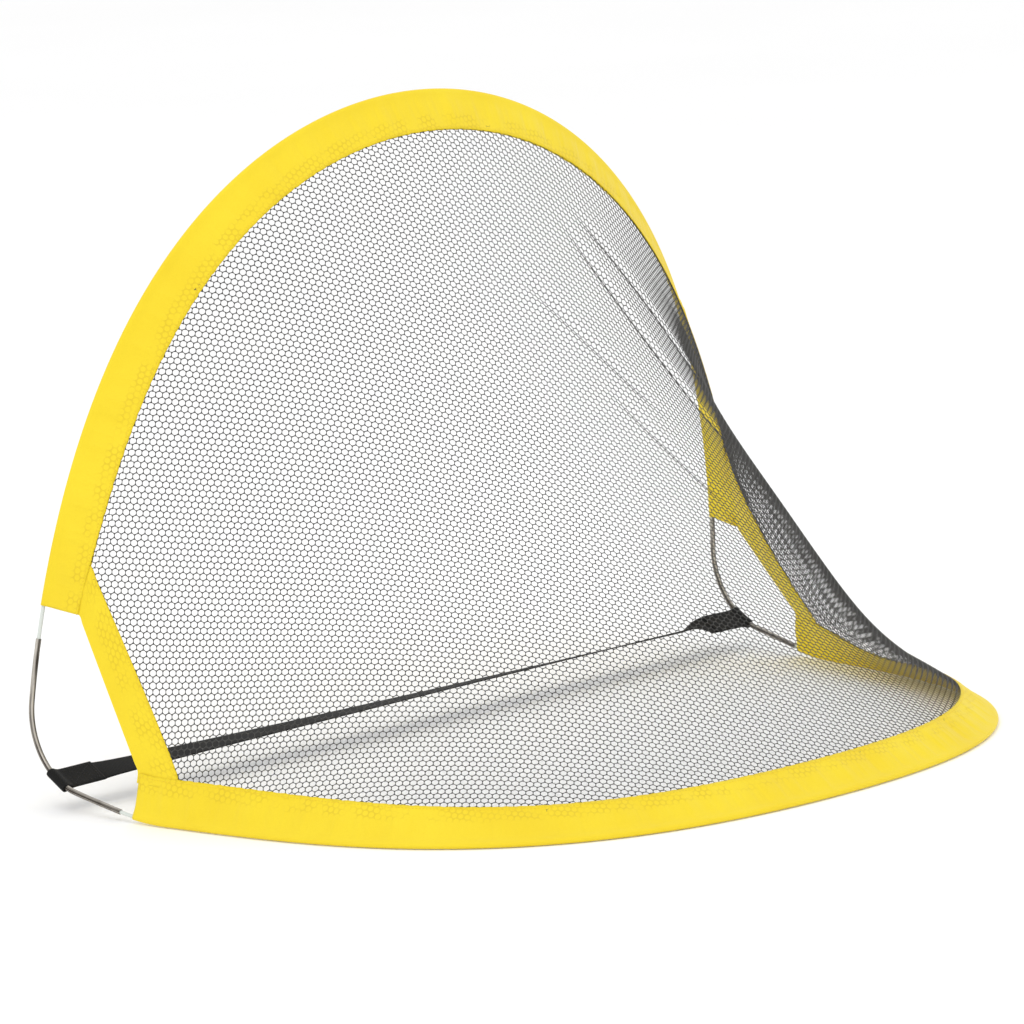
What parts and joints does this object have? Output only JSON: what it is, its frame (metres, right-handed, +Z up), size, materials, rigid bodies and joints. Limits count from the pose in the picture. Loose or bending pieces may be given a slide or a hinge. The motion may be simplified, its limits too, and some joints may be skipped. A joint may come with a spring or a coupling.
{
  "type": "pop up goal",
  "caption": "Free-standing pop up goal: a sprung arch and base rod in fabric sleeves, bent steel corner tubes, a strap and a saddle-shaped net.",
  "frame": {"origin": "bottom centre of the whole object's box, on the ground it stands on", "axes": "+X along the strap from the left corner to the right corner, +Y from the mouth towards the base arc, +Z up"},
  "size_m": [0.9202, 0.5947, 0.6155],
  "materials": {
    "fibreglass": "white pultruded fibreglass rod, semi-gloss",
    "steel_tube": "bent steel tube, drawn and lightly brushed",
    "sleeve_cloth": "lemon yellow woven polyester, stitched double",
    "net_yarn": "black knitted polyester net with six-sided holes",
    "webbing": "black woven webbing"
  },
  "bodies": {
    "base": {"base_rod": "fibreglass", "arch_rod_tail_left": "fibreglass", "arch_rod_tail_right": "fibreglass", "corner_tube_left": "steel_tube", "corner_tube_right": "steel_tube", "base_sleeve": "sleeve_cloth", "side_band_left": "sleeve_cloth", "side_band_right": "sleeve_cloth", "net": "net_yarn", "strap": "webbing", "strap_loop_left": "webbing", "strap_loop_right": "webbing"},
    "arch": {"arch_rod": "fibreglass", "arch_sleeve": "sleeve_cloth"}
  },
  "joints": [
    {"name": "arch_fold", "type": "hinge", "parent": "base", "child": "arch", "pos_m": [0, -0.28731, 0.15988], "axis": [-1, 0, 0], "range_deg": [0, 85], "stiffness_Nm_per_rad": 3, "springref_deg": -20.05, "deforming": ["net", "side_band_left", "side_band_right"]}
  ]
}
